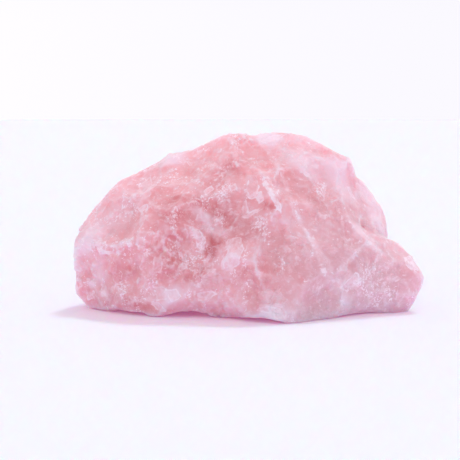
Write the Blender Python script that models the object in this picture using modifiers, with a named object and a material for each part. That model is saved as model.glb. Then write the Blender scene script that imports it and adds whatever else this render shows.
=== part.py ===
"""A rough chunk of rose quartz, one broken lump, lying on its widest side.

The lump is built the way it broke. Six convex blocks, each the hull of its corners, stand for the
masses between the big fractures and are joined into one solid. Round cutters take the hollow,
shell-like breaks out of it. Flake scars of two sizes are then struck off its skin: each is the bite
of a ball that just dips into the surface, so that scars meet in the crisp ridges of broken quartz.
The underside is cut level where the lump touches the table.

Units are metres, with +Z up and +X along the lump's length. Y points away from its best side. The
origin is on the table, in the middle of the lump's box.
"""

import random

import bmesh
import bpy
from mathutils import Vector, kdtree

NAME = "rose_quartz_chunk"

# Driving dimensions: the overall box of the finished lump.
LENGTH = 0.1015
DEPTH = 0.0550
HEIGHT = 0.0510

# The corners and hollows below are laid out in whole millimetres, on a lump of the size above.
MM = 0.001

# The long left mass: its crest climbs from the left tip to the crown, its front leans back.
WEST_CREST = (
    (-51, -2, 17), (-50, 0, 22), (-46, 2, 31), (-38, 3, 38), (-24, 4, 43), (-20, 9, 47), (-8, 4, 50),
)
WEST_FRONT = (
    (-43, -11, 18), (-33, -17, 19), (-22, -10, 38), (-14, -16, 33), (-8, -20, 20), (0, -8, 41),
    (-39, -10, 5), (-23, -20, 6), (-8, -20, 9),
)
WEST_BACK = (
    (-46, 10, 14), (-41, 17, 22), (-30, 17, 35), (-12, 20, 41), (-38, 19, 6), (-18, 27, 15),
    (-2, 25, 30), (-36, 17, 1), (-16, 24, 0), (-2, 24, 3),
)
WEST_SOLE = ((-49, -1, 3), (-45, 1, 0), (-37, -6, 0), (-24, -17, 0), (-34, 12, 0), (-8, 14, 0))

# The rim: a thin edge that stands up behind the crest of the left mass.
WEST_RIM = (
    (-25, 9, 44), (-22, 10, 48), (-15, 10, 50), (-12, 12, 49), (-24, 14, 42), (-13, 17, 45), (-18, 4, 42),
)

# The crown: the highest mass, a plateau that falls away to the right.
CROWN_CREST = (
    (-14, 4, 48), (-5, 4, 53), (2, 7, 53), (13, 9, 52), (24, 8, 51), (31, 7, 45), (34, 3, 36),
)
CROWN_FRONT = (
    (-3, -7, 46), (-14, -15, 33), (0, -16, 38), (10, -18, 31), (25, -9, 36), (31, -13, 21),
    (-10, -18, 20), (20, -19, 14), (28, -14, 5), (-16, -16, 6),
)
CROWN_BACK = (
    (-12, 20, 42), (8, 22, 43), (22, 18, 40), (30, 17, 28), (10, 28, 22), (26, 24, 10), (6, 25, 0),
    (-16, 22, 6), (23, 20, 0),
)

# The belly: it bulges forward at the foot of the crown and stands furthest out.
BELLY_FRONT = (
    (-19, -18, 3), (-12, -21, 4), (-7, -24, 14), (-4, -22, 25), (6, -28, 8), (1, -27, 15),
    (13, -26, 9), (21, -21, 17), (27, -18, 9), (8, -20, 30), (31, -13, 18),
)
BELLY_SOLE = ((-4, -22, 2), (4, -28, 0), (10, -27, 0), (22, -21, 0), (34, -12, 2), (28, 6, 0), (-16, 2, 0))

# The shoulder: it stands behind the right end, below the crown.
SHOULDER = (
    (34, 9, 39), (39, 12, 35), (41, 12, 30), (42, 10, 21), (36, 3, 30), (37, -3, 21), (24, 19, 38),
    (34, 20, 27), (40, 16, 14), (36, 14, 1), (26, 21, 4), (18, 0, 34), (18, 0, 4),
)

# The foot: the low right end, a blunt wedge whose front meets the belly in a shallow valley.
FOOT = (
    (43, 2, 21), (48, -2, 16), (51, -5, 11), (49, -6, 6), (47, -6, 2), (44, -7, 0), (39, -9, 0),
    (36, -13, 4), (40, -14, 10), (46, -10, 8), (31, -15, 20), (25, -18, 16), (26, -18, 6),
    (36, -8, 23), (24, -10, 28), (46, 6, 13), (41, 13, 12), (38, 10, 1), (22, 4, 1),
)
BLOCKS = {
    "west": WEST_CREST + WEST_FRONT + WEST_BACK + WEST_SOLE,
    "west rim": WEST_RIM,
    "crown": CROWN_CREST + CROWN_FRONT + CROWN_BACK,
    "belly": BELLY_FRONT + BELLY_SOLE,
    "shoulder": SHOULDER,
    "foot": FOOT,
}

# Shell-like hollows: the centre and the radius of the ball that each follows.
HOLLOWS = {
    "under the front edge, left of the belly": ((-13, -32, -7), 18),
    "under the front edge, right of the belly": ((26, -32, -21), 23),
    "low on the left end": ((-37, -28, 8), 14),
    "pocket left of the belly": ((-13, -31, 21), 12),
    "between the crown and the foot": ((39, -24, 37), 17),
    "dish high on the left": ((-27, -34, 44), 23),
    "back of the left mass": ((-30, 50, 32), 29),
    "back of the crown": ((10, 56, 42), 32),
    "back of the foot": ((52, 32, 16), 22),
    "under the middle": ((-4, 4, -27), 28),
}
BALL_SUBDIVISIONS = 4

SKIN_STEP = 0.8 * MM  # edge length of the skin that the flake scars are cut in
SOFTENING_PASSES = 2

# Flake scars, large ones first: how far apart they sit, and their least and greatest half-width.
SCAR_SIZES = ((11.0 * MM, 7.0 * MM, 12.0 * MM), (5.5 * MM, 3.0 * MM, 6.0 * MM))
SCAR_DISHING = (0.05, 0.16)  # a scar's depth, as a share of its half-width
SCAR_TILT = 0.22  # how far a scar may lean out of the skin
DEEPEST_SCAR = 2.6 * MM
DRAWING_BACK = 5  # how often a ball that bites too deep is drawn back before it is left out
TRIES = 900  # balls thrown for each size of scar
SEED = 3

REST_LEVEL = 1.2 * MM  # the underside is cut level this far above the lowest point
TABLE_SIZE = 0.3
TRIANGLES = 9400

ROSE = (0.80, 0.42, 0.48, 1.0)


def clear_scene():
    for obj in list(bpy.data.objects):
        bpy.data.objects.remove(obj, do_unlink=True)


def new_object(name, bm, collection):
    mesh = bpy.data.meshes.new(name)
    bm.to_mesh(mesh)
    bm.free()
    obj = bpy.data.objects.new(name, mesh)
    collection.objects.link(obj)
    return obj


def helper(obj):
    """Marks an object as construction only."""
    obj.hide_render = True
    obj.display_type = "WIRE"
    return obj


def block(name, corners, collection):
    """The convex hull of its corners."""
    bm = bmesh.new()
    for corner in corners:
        bm.verts.new(Vector(corner) * MM)
    made = bmesh.ops.convex_hull(bm, input=bm.verts)
    inner = [g for g in made["geom_interior"] if isinstance(g, bmesh.types.BMVert)]
    bmesh.ops.delete(bm, geom=inner, context="VERTS")
    bmesh.ops.recalc_face_normals(bm, faces=bm.faces)
    return helper(new_object(name, bm, collection))


def ball(name, centre, radius, collection):
    bm = bmesh.new()
    bmesh.ops.create_icosphere(bm, subdivisions=BALL_SUBDIVISIONS, radius=radius * MM)
    bmesh.ops.translate(bm, verts=bm.verts, vec=Vector(centre) * MM)
    return helper(new_object(name, bm, collection))


def table(top, collection):
    """A slab whose upper side is at the given height."""
    bm = bmesh.new()
    bmesh.ops.create_cube(bm, size=TABLE_SIZE)
    bmesh.ops.translate(bm, verts=bm.verts, vec=(0, 0, top - TABLE_SIZE / 2))
    return helper(new_object("table", bm, collection))


def add_boolean(obj, other, operation):
    modifier = obj.modifiers.new(other.name, "BOOLEAN")
    modifier.operation = operation
    modifier.object = other


def add_skin(obj):
    """Remeshes the object into one even skin."""
    remesh = obj.modifiers.new("skin", "REMESH")
    remesh.mode = "VOXEL"
    remesh.voxel_size = SKIN_STEP


def evaluated_mesh(obj):
    """The object's mesh with its modifiers applied."""
    bpy.context.view_layer.update()
    graph = bpy.context.evaluated_depsgraph_get()
    return bpy.data.meshes.new_from_object(obj.evaluated_get(graph))


def scar_balls(verts, tree, spacing, least, greatest, rng):
    """The centre, radius and outward direction of each ball that strikes a scar off the skin.

    Each try throws a point into the lump's box and seats a ball at the skin's nearest vertex. A seat
    too near an earlier one is left out.
    """
    seats = []
    for _ in range(TRIES):
        thrown = Vector(rng.uniform(-0.5, 0.5) * side for side in (LENGTH, DEPTH, HEIGHT))
        half_width = rng.uniform(least, greatest)
        depth = half_width * rng.uniform(*SCAR_DISHING)
        lean = Vector(rng.uniform(-SCAR_TILT, SCAR_TILT) for _ in range(3))
        _, index, _ = tree.find(thrown + Vector((0, 0, HEIGHT / 2)))
        seat = verts[index]
        if any((seat.co - other).length < spacing for other in seats):
            continue
        seats.append(seat.co.copy())
        radius = (half_width**2 + depth**2) / (2 * depth)
        outward = (seat.normal + lean).normalized()
        yield seat.co + outward * (radius - depth), radius, outward


def strike(verts, tree, centre, radius, outward):
    """Moves the skin out of a ball, which is first drawn back until it bites no deeper than it may."""
    for _ in range(DRAWING_BACK):
        near = [verts[index] for _, index, _ in tree.find_range(centre, radius + DEEPEST_SCAR)]
        deepest = max((radius - (vert.co - centre).length for vert in near), default=0.0)
        if deepest <= DEEPEST_SCAR:
            break
        centre = centre + outward * (deepest - DEEPEST_SCAR)
    else:
        return
    for vert in near:
        way = vert.co - centre
        if way.length < radius:
            vert.co = centre + way.normalized() * radius


def strike_scars(mesh):
    """Strikes the flake scars off the skin, the large ones first."""
    rng = random.Random(SEED)
    bm = bmesh.new()
    bm.from_mesh(mesh)
    for _ in range(SOFTENING_PASSES):
        bmesh.ops.smooth_vert(
            bm, verts=bm.verts, factor=0.5, use_axis_x=True, use_axis_y=True, use_axis_z=True
        )
    for spacing, least, greatest in SCAR_SIZES:
        bm.normal_update()
        verts = bm.verts[:]
        tree = kdtree.KDTree(len(verts))
        for vert in verts:
            tree.insert(vert.co, vert.index)
        tree.balance()
        for ball_place in list(scar_balls(verts, tree, spacing, least, greatest, rng)):
            strike(verts, tree, *ball_place)
    bm.to_mesh(mesh)
    bm.free()


def fit_to_box(mesh):
    """Scales the lump to its driving dimensions, with the origin under the middle of its box."""
    corners = [vert.co for vert in mesh.vertices]
    low = Vector(min(co[i] for co in corners) for i in range(3))
    high = Vector(max(co[i] for co in corners) for i in range(3))
    wanted = Vector((LENGTH, DEPTH, HEIGHT))
    middle = (low + high) / 2
    for vert in mesh.vertices:
        place = vert.co - Vector((middle.x, middle.y, low.z))
        vert.co = Vector(place[i] * wanted[i] / (high[i] - low[i]) for i in range(3))


def rose_quartz():
    material = bpy.data.materials.new("rose_quartz")
    material.use_nodes = True
    shader = material.node_tree.nodes["Principled BSDF"]
    shader.inputs["Base Color"].default_value = ROSE
    shader.inputs["Roughness"].default_value = 0.35
    shader.inputs["Metallic"].default_value = 0.0
    return material


def joined_blocks(collection):
    """The blocks in one solid, with the hollows taken out."""
    blocks = [block(name, corners, collection) for name, corners in BLOCKS.items()]
    hollows = [ball(name, *place, collection) for name, place in HOLLOWS.items()]
    joined = blocks[0]
    for other in blocks[1:]:
        add_boolean(joined, other, "UNION")
    for other in hollows:
        add_boolean(joined, other, "DIFFERENCE")
    add_skin(joined)
    return joined


def thinned(mesh, collection):
    """An object of the mesh, brought down to the wanted number of triangles."""
    obj = helper(bpy.data.objects.new("rough lump", mesh))
    collection.objects.link(obj)
    decimate = obj.modifiers.new("fewer triangles", "DECIMATE")
    triangles = sum(len(polygon.vertices) - 2 for polygon in mesh.polygons)
    decimate.ratio = min(1.0, TRIANGLES / triangles)
    return obj


def build():
    clear_scene()
    lump_collection = bpy.data.collections.new(NAME)
    construction = bpy.data.collections.new("construction")
    bpy.context.scene.collection.children.link(lump_collection)
    bpy.context.scene.collection.children.link(construction)

    broken = joined_blocks(construction)
    broken.data = evaluated_mesh(broken)
    broken.modifiers.clear()
    strike_scars(broken.data)
    add_skin(broken)

    rough = thinned(evaluated_mesh(broken), construction)
    lowest = min(vert.co.z for vert in rough.data.vertices)
    add_boolean(rough, table(lowest + REST_LEVEL, construction), "DIFFERENCE")

    lump = bpy.data.objects.new(NAME, evaluated_mesh(rough))
    lump_collection.objects.link(lump)
    lump.data.name = NAME
    fit_to_box(lump.data)
    lump.data.materials.clear()
    lump.data.materials.append(rose_quartz())


build()
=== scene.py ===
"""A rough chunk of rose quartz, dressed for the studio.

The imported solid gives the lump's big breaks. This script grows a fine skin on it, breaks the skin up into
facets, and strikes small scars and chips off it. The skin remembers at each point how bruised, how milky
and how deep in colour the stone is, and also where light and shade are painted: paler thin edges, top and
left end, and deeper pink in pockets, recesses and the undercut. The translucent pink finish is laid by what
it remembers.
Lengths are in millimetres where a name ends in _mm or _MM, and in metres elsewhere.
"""

from __future__ import annotations

import logging
import math
import random
from collections.abc import Callable
from dataclasses import dataclass
from enum import Enum
from functools import partial

import bmesh
import bpy
from bpy.types import Material, Mesh, Node, NodeSocket, NodeTree, Object
from mathutils import Matrix, Vector, kdtree, noise
from mathutils.bvhtree import BVHTree

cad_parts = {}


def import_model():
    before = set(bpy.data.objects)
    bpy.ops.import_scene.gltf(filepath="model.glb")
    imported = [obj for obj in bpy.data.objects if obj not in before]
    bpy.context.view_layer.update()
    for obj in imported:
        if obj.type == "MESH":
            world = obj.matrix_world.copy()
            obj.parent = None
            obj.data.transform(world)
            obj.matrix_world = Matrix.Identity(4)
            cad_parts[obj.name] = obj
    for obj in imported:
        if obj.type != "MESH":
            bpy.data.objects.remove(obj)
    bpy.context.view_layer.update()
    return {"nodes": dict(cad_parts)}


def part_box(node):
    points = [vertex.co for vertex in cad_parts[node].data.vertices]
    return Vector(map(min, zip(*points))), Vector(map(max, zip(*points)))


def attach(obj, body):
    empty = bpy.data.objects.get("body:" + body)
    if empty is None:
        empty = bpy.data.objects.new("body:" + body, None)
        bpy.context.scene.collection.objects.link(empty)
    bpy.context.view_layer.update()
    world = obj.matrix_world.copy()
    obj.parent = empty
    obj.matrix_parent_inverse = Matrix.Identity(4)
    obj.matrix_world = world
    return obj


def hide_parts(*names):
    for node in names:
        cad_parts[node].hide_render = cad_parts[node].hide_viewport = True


LOG = logging.getLogger("rose_quartz")

MM = 0.001
TOUCHING = 1e-6  # points nearer to each other than this are one
NODE = "rose_quartz_chunk"
PIECE = "rough_lump"
BODY = "root"
ALONG_X = (1.0, 0.0, 0.0)
HALF_GREY = (0.5, 0.5, 0.5)  # the middle of a noise's colour
SOFT = {"interpolation_type": "SMOOTHSTEP"}  # a range that fades softly at both ends

Pair = tuple[float, float]
Pixel = tuple[float, float]
Triple = tuple[float, float, float]
Source = NodeSocket | Node
AddNode = Callable[..., Node]


def linear(code: str) -> tuple[float, float, float, float]:
    """Turns an sRGB hex code into a linear colour.

    Args:
        code: The colour as "#RRGGBB".

    Returns:
        Linear red, green, blue and an alpha of 1.
    """
    parts = (int(code[i : i + 2], 16) / 255 for i in (1, 3, 5))
    red, green, blue = (c / 12.92 if c <= 0.04045 else ((c + 0.055) / 1.055) ** 2.4 for c in parts)
    return red, green, blue, 1.0


def add_node(tree: NodeTree, kind: str, inputs: dict[str | int, object] | None = None, **settings: object) -> Node:
    """Adds one node with its settings, values and links.

    Args:
        tree: The node tree that gets the node.
        kind: The node's type name, without the ShaderNode that it begins with.
        inputs: For each named or numbered input, a value, a socket, or a node whose first output feeds it.
        settings: The node's own properties.

    Returns:
        The new node.
    """
    node = tree.nodes.new("ShaderNode" + kind)
    for name, value in settings.items():
        setattr(node, name, value)
    for key, value in (inputs or {}).items():
        if isinstance(value, Node):
            value = value.outputs[0]
        if isinstance(value, NodeSocket):
            tree.links.new(value, node.inputs[key])
        else:
            node.inputs[key].default_value = value
    return node


def across(size_mm: float) -> float:
    """The texture scale whose features are about this many millimetres across."""
    return 1 / (size_mm * MM)


def smooth_step(low: float, high: float, value: float) -> float:
    """Rises smoothly from 0 at low to 1 at high, or falls if low is above high."""
    t = min(1.0, max(0.0, (value - low) / (high - low)))
    return t * t * (3 - 2 * t)


def wander(place: Vector) -> Vector:
    """A smooth vector noise of parts from about -1 to 1, the same on each run, at a place in wavelengths."""
    shifts = ((9.3, 1.5, 7.9), (3.7, 8.1, 2.3), (5.9, 4.4, 6.7))
    return Vector(noise.noise(place + Vector(shift)) for shift in shifts)


def smooth(bm: bmesh.types.BMesh, passes: int, factor: float) -> None:
    """Moves each point of a mesh by this factor towards its neighbours' middle, in each pass."""
    for _ in range(passes):
        bmesh.ops.smooth_vert(bm, verts=bm.verts, factor=factor, use_axis_x=True, use_axis_y=True, use_axis_z=True)


def show(name: str, mesh: Mesh) -> Object:
    """Puts a mesh into the scene as an object at the origin.

    Args:
        name: The object's name.
        mesh: Its mesh.

    Returns:
        The object.
    """
    piece = bpy.data.objects.new(name, mesh)
    bpy.context.scene.collection.objects.link(piece)
    return piece


@dataclass(frozen=True)
class Viewpoint:
    """Where the camera stands and how it sees the lump."""

    target_mm: Triple = (-5.4, -8.0, 23.7)
    elevation_deg: float = 6.0
    distance_mm: float = 363.0
    lens_mm: float = 100.0
    sensor_mm: float = 36.0
    frame_px: int = 460
    nearest: float = 0.01

    def backwards(self) -> Vector:
        """The direction from the target to the camera."""
        tilt = math.radians(self.elevation_deg)
        return Vector((0.0, -math.cos(tilt), math.sin(tilt)))

    def stand(self) -> Vector:
        """The camera's place."""
        return Vector(self.target_mm) * MM + self.backwards() * self.distance_mm * MM

    def sight(self, pixel: Pixel) -> Vector:
        """The direction in which the camera sees a pixel.

        Args:
            pixel: Its place in the frame, from the upper left corner.

        Returns:
            A unit vector that points away from the camera.
        """
        px_per_unit = self.lens_mm / self.sensor_mm * self.frame_px
        right = (pixel[0] - self.frame_px / 2) / px_per_unit
        up = (self.frame_px / 2 - pixel[1]) / px_per_unit
        upwards = self.backwards().cross(Vector(ALONG_X))
        way = Vector((right, 0.0, 0.0)) + upwards * up - self.backwards()
        return way.normalized()

    def place(self) -> None:
        """Makes the scene's camera."""
        data = bpy.data.cameras.new("camera")
        data.lens = self.lens_mm
        data.sensor_width = self.sensor_mm
        data.clip_start = self.nearest
        camera = bpy.data.objects.new("camera", data)
        camera.location = self.stand()
        camera.rotation_euler = (-self.backwards()).to_track_quat("-Z", "Y").to_euler()
        bpy.context.scene.collection.objects.link(camera)
        bpy.context.scene.camera = camera


class Hide(Enum):
    """What each point of the skin remembers, as the mesh's own attributes."""

    FROST = "frost"  # bruised or cracked, so white
    CHIP = "chip"  # how far inside a chip's border, which lies at a half
    FLOOR = "floor"  # how white the chip's floor is
    RIM = "rim"  # how white the chip's edge is, partly a painted glint along it
    MILK_AND_PAINTED_LIGHT = "milk_and_painted_light"  # clouded, so pale, and painted light: thin edges, the top and the left end made paler
    BLUSH_AND_PAINTED_SHADE = "blush_and_painted_shade"  # clear and deep, so saturated, and painted shade: deeper pink in pockets, recesses and the undercut
    SUGAR = "sugar"  # strewn with fine crushed grains
    RIDGE = "ridge"  # how far it stands out of its surroundings


@dataclass(frozen=True)
class Facets:
    """One size of the small flat facets that a hackly break is made of."""

    name: str
    across_mm: float
    tilt: float  # how steep the steepest facets are
    step_mm: float  # how far apart neighbouring facets may lie
    shift: Triple  # keeps the sizes from falling on each other


@dataclass(frozen=True)
class ScarSize:
    """One size of flake scar: the bite of a ball that just dips into the skin."""

    name: str
    spacing_mm: float
    half_width_mm: Pair
    dishing: Pair  # the bite's depth, in half widths
    lean: float
    deepest_mm: float
    tries: int
    bruised: float  # share of these scars whose floor is crushed white


@dataclass(frozen=True)
class ChipSize:
    """One size of the flat, straight-sided chips that lie all over the break."""

    name: str
    spacing_mm: float
    half_length_mm: Pair
    slimness: Pair
    fill: Pair  # how white the floors are
    rim: Pair  # how white the edges are, partly painted glints
    relief_mm: Pair
    tries: int


@dataclass(frozen=True)
class Flake:
    """A flat chip whose corners are known pixels of the lump's best side."""

    name: str
    corners: tuple[Pixel, ...]
    fill: float
    rim: float
    relief_mm: float = -0.15


@dataclass(frozen=True)
class Patch:
    """A soft-edged oval mark around a pixel of the lump's best side."""

    name: str
    pixel: Pixel
    half_length_mm: float
    half_width_mm: float
    turn_deg: float
    strength: float


@dataclass(frozen=True)
class Seam:
    """A white line along a ridge or a crack, through a few pixels of the best side."""

    name: str
    pixels: tuple[Pixel, ...]
    half_width_mm: float
    strength: float


SCAR_SIZES = (
    ScarSize("flakes", 2.6, (1.8, 4.6), (0.06, 0.16), 0.30, 0.6, 5000, 0.03),
    ScarSize("chips", 1.3, (0.9, 2.2), (0.08, 0.20), 0.40, 0.35, 12000, 0.06),
)
FACETS = (
    Facets("large facets", 4.2, 0.12, 0.05, (11.0, 3.0, 5.0)),
    Facets("small facets", 1.9, 0.20, 0.05, (2.0, 17.0, 9.0)),
)
CHIP_SIZES = (
    ChipSize("sheets", 6.0, (1.6, 3.2), (1.1, 2.2), (0.05, 0.30), (0.2, 0.6), (-0.25, 0.10), 900),
    ChipSize("shards", 2.8, (0.7, 1.5), (1.2, 3.0), (0.10, 0.50), (0.3, 0.8), (-0.20, 0.10), 4500),
    ChipSize("splinters", 1.3, (0.40, 0.75), (1.2, 2.4), (0.35, 0.85), (0.4, 0.9), (-0.10, 0.08), 10000),
)

FLAKES = (
    Flake(
        "ring flake",
        ((247, 186), (250, 178), (257, 178), (259, 187), (256, 195), (249, 196)),
        0.40, 0.95, -0.30,
    ),
    Flake("tip of the ring flake", ((247, 195), (255, 193), (256, 197), (251, 199)), 0.6, 0.7),
    Flake("square flake", ((255, 194), (261, 192), (264, 200), (259, 203)), 0.8, 0.9, 0.15),
    Flake("long flake", ((262, 183), (265, 182), (281, 206), (281, 212), (277, 208)), 0.9, 1.0, 0.20),
    Flake(
        "fan over the long flake",
        ((262, 179), (274, 178), (281, 184), (277, 193), (268, 188)),
        0.42, 0.8, -0.25,
    ),
    Flake("hooked flake", ((243, 202), (246, 201), (248, 212), (243, 217)), 0.35, 0.7),
    Flake("foot of the hooked flake", ((243, 217), (256, 209), (258, 211), (247, 218)), 0.6, 0.8),
    Flake("leaf", ((191, 225), (199, 230), (206, 241), (204, 252), (199, 249), (194, 238)), 0.75, 1.0, 0.25),
    Flake("beside the leaf", ((184, 224), (189, 226), (193, 234), (189, 236)), 0.35, 0.6),
    Flake(
        "sheet right of the pocket",
        ((229, 252), (241, 254), (239, 264), (228, 271), (221, 270), (222, 261)),
        0.55, 0.7, 0.25,
    ),
    Flake("sheet above it", ((228, 240), (240, 237), (243, 249), (239, 258), (228, 254)), 0.60, 0.8, 0.15),
    Flake("lower sheet", ((203, 259), (213, 264), (214, 270), (206, 270)), 0.5, 0.65),
    Flake("dart", ((176, 271), (183, 261), (187, 267), (183, 270)), 0.8, 0.9, 0.15),
    Flake("pane on the left", ((154, 258), (161, 257), (162, 268), (160, 272), (154, 271)), 0.4, 0.55),
    Flake("pane on the crown", ((229, 187), (235, 184), (237, 188), (231, 191)), 0.6, 0.7),
    Flake("flag on the crown", ((204, 191), (211, 186), (214, 189), (206, 194)), 0.6, 0.8),
    Flake(
        "chip on the lower edge",
        ((149, 302), (159, 303), (169, 311), (168, 315), (158, 310)),
        0.75, 0.85, -0.25,
    ),
    Flake("chip above it", ((165, 291), (176, 289), (181, 297), (172, 302)), 0.55, 0.9),
    Flake("panes above the lower edge", ((155, 287), (166, 287), (166, 299), (157, 300)), 0.35, 0.5),
    Flake("edge under the middle", ((197, 294), (212, 291), (216, 294), (206, 300), (199, 300)), 0.65, 0.75),
    Flake("white heel", ((256, 310), (266, 306), (280, 309), (283, 316), (275, 322), (268, 320)), 0.75, 0.9, -0.20),
    Flake("block low on the left end", ((87, 293), (94, 291), (95, 297), (88, 300)), 0.7, 0.85, 0.25),
    Flake("second block", ((102, 287), (106, 286), (107, 296), (102, 297)), 0.6, 0.7, 0.15),
    Flake("ledge on the left end", ((98, 250), (104, 251), (119, 251), (118, 253), (100, 254)), 0.75, 0.8, 0.30),
    Flake("blade over the ledge", ((95, 241), (98, 242), (103, 251), (99, 252)), 0.45, 0.8, 0.20),
    Flake(
        "crust on the foot",
        ((404, 258), (409, 256), (415, 262), (418, 270), (412, 270), (406, 265)),
        0.95, 1.0, 0.15,
    ),
    Flake(
        "edge flake on the crown",
        ((254, 133), (266, 131), (285, 134), (279, 139), (266, 143), (258, 140)),
        0.75, 0.8,
    ),
    Flake("wedge above the foot", ((341, 288), (356, 272), (359, 274), (358, 285), (347, 291)), 0.7, 1.0, -0.25),
    Flake("bead", ((321, 269), (325, 268), (326, 272), (322, 273)), 0.95, 0.95, 0.15),
    # Painted light: two small white glints, and two facets of the shoulder made paler where light falls on them.
    Flake("glint high on the crown", ((303, 171), (309, 174), (310, 177), (305, 175)), 0.9, 0.95),
    Flake("glint at the shoulder", ((347, 187), (350, 188), (355, 199), (352, 197)), 0.8, 0.95),
    Flake("pale facet of the shoulder", ((356, 183), (368, 190), (367, 203), (356, 198)), 0.45, 0.5, 0.10),
    Flake(
        "pale facet under the shoulder",
        ((372, 213), (380, 216), (386, 230), (380, 233), (371, 222)),
        0.40, 0.4, 0.10,
    ),
    Flake("facet at the left tip", ((99, 203), (105, 196), (107, 205), (102, 212)), 0.35, 0.6),
    Flake("shard on the top left", ((139, 186), (150, 177), (152, 183), (149, 194), (141, 194)), 0.35, 0.6),
    Flake("streak under the crown", ((138, 209), (147, 204), (148, 208), (141, 212)), 0.7, 0.8),
    Flake("long veil on the ridge", ((291, 205), (297, 204), (300, 214), (299, 222), (293, 214)), 0.35, 0.4),
)

PATCHES = {
    Hide.MILK_AND_PAINTED_LIGHT: (
        Patch("veil beside the leaf", (208, 222), 9.0, 2.2, -48, 0.75),
        Patch("veil under the leaf", (225, 262), 6.0, 4.0, 60, 0.3),
        Patch("veil above the lower edge", (190, 286), 13.0, 2.2, 8, 0.45),
        Patch("cloud above the lower edge", (172, 294), 5.5, 3.0, 10, 0.8),
        Patch("cloud at the heel", (270, 314), 6.0, 2.6, 5, 0.8),
        Patch("wash of the belly's left side", (255, 245), 7.0, 5.0, 40, 0.25),
        Patch("wash at the foot of the ridge", (338, 282), 5.5, 3.5, -40, 0.5),
        # From here on the patches are painted light: thin edges, the crown, the shoulder, the upper right, the left
        # end and the top left made paler where light falls on them or shines through, and a painted glow along the
        # crack.
        Patch("thin back edge", (173, 158), 5.0, 5.0, 28, 1.2),
        Patch("shoulder", (371, 200), 8.0, 4.0, -55, 0.95),
        Patch("under the shoulder", (378, 220), 6.0, 4.0, -60, 1.1),
        Patch("pale facet above the foot", (361, 231), 5.0, 3.0, -30, 0.95),
        Patch("glow of the crack", (345, 302), 4.5, 2.2, 85, 0.9),
        Patch("right side of the crown", (308, 158), 12.0, 8.0, -30, 0.95),
        Patch("top of the crown", (300, 141), 8.0, 6.0, -10, 0.6),
        Patch("white facet on top", (268, 138), 5.0, 5.0, 0, 1.2),
        Patch("upper right", (340, 174), 12.0, 8.0, -35, 0.95),
        Patch("low on the left end", (98, 274), 8.0, 4.5, 80, 0.75),
        Patch("left end", (88, 235), 11.0, 5.5, 62, 0.95),
        Patch("left face", (118, 222), 12.0, 7.0, 60, 0.5),
        Patch("top left", (140, 190), 9.0, 7.0, 35, 0.45),
    ),
    Hide.BLUSH_AND_PAINTED_SHADE: (
        # The pocket's deeper pink is partly the stone's clear colour and partly painted shade.
        Patch("deep pocket", (214, 245), 4.5, 3.0, 60, 1.0),
        Patch("pool on the left", (172, 203), 3.6, 2.6, 0, 0.5),
        Patch("pool under the crown", (230, 170), 9.0, 5.5, 30, 0.36),
        Patch("pool at the middle", (224, 212), 5.0, 4.5, 0, 0.4),
        Patch("pool under the hook", (268, 206), 3.0, 2.0, -50, 0.7),
        Patch("pool left of the leaf", (176, 236), 8.0, 6.0, -30, 0.55),
        Patch("clear middle", (232, 228), 12.0, 8.0, 20, 0.34),
        Patch("clear low middle", (206, 276), 8.0, 4.0, 10, 0.30),
        Patch("clear left of the belly", (255, 282), 7.0, 6.0, 0, 0.34),
        # Painted shade: deeper pink in the recess under the ledge and along the undercut.
        Patch("recess under the ledge", (126, 272), 9.0, 4.5, 0, 0.5),
        Patch("undercut", (140, 306), 12.0, 2.0, -4, 0.5),
        Patch("pool low on the belly", (252, 278), 6.0, 3.5, -30, 0.55),
        Patch("pool right of the ridge", (318, 205), 5.0, 3.5, 0, 0.5),
        Patch("foot's tip", (402, 272), 4.5, 3.5, 0, 0.4),
    ),
    Hide.SUGAR: (
        Patch("sugar on the foot", (378, 282), 13.0, 9.0, -25, 1.4),
        Patch("sugar on the belly", (282, 268), 3.5, 2.0, 70, 0.9),
        Patch("second sugar on the belly", (298, 268), 4.0, 1.3, 85, 0.95),
        Patch("third sugar on the belly", (308, 286), 3.5, 1.5, 80, 0.8),
        Patch("sugar left of the belly", (231, 286), 4.0, 1.3, 75, 0.95),
        Patch("sugar on the foot's ridge", (372, 250), 8.0, 4.0, -35, 1.2),
        Patch("sugar below the crown", (323, 190), 4.4, 3.8, 0, 1.9),
        Patch("sugar on the middle", (268, 216), 3.2, 1.4, 50, 1.3),
        Patch("sugar column by the leaf", (176, 232), 5.5, 2.0, 78, 1.1),
        Patch("sugar column under it", (172, 252), 4.5, 1.5, 85, 1.1),
        Patch("sugar under the leaf", (188, 262), 4.5, 2.5, -50, 1.1),
        Patch("sugar on the left", (146, 246), 6.0, 1.6, 80, 1.0),
        Patch("sugar high on the left", (160, 184), 6.0, 2.0, 10, 0.8),
        Patch("sugar at the rim", (132, 202), 5.0, 2.0, 60, 0.8),
        Patch("sugar in the recess", (120, 285), 5.0, 3.0, 80, 0.9),
        Patch("sugar on the crown's front", (222, 193), 6.0, 3.0, -30, 0.9),
        Patch("sugar along the undercut", (136, 298), 7.0, 0.8, -3, 1.2),
        Patch("sugar on the crown's right", (300, 165), 7.0, 4.0, -40, 0.5),
    ),
}

SEAMS = (
    Seam(
        "ridge from the crown to the belly",
        ((259, 139), (275, 160), (288, 190), (297, 215), (310, 237), (325, 258), (336, 276), (343, 292)),
        0.6, 0.8,
    ),
    Seam("bright edge of the belly", ((298, 217), (306, 231), (314, 246), (321, 259)), 0.45, 2.4),
    Seam("crack down from the ridge", ((343, 290), (343, 314)), 0.6, 1.6),
    Seam("ridge of the foot", ((373, 239), (358, 251), (346, 262), (336, 276)), 0.6, 1.6),
    Seam("lower left edge", ((103, 297), (120, 299), (140, 300), (152, 301)), 0.5, 0.9),
    Seam("crack on the belly", ((302, 244), (312, 256), (325, 263)), 0.35, 0.9),
    Seam("crack behind the leaf", ((206, 217), (216, 226), (224, 236)), 0.5, 0.5),
)


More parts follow.
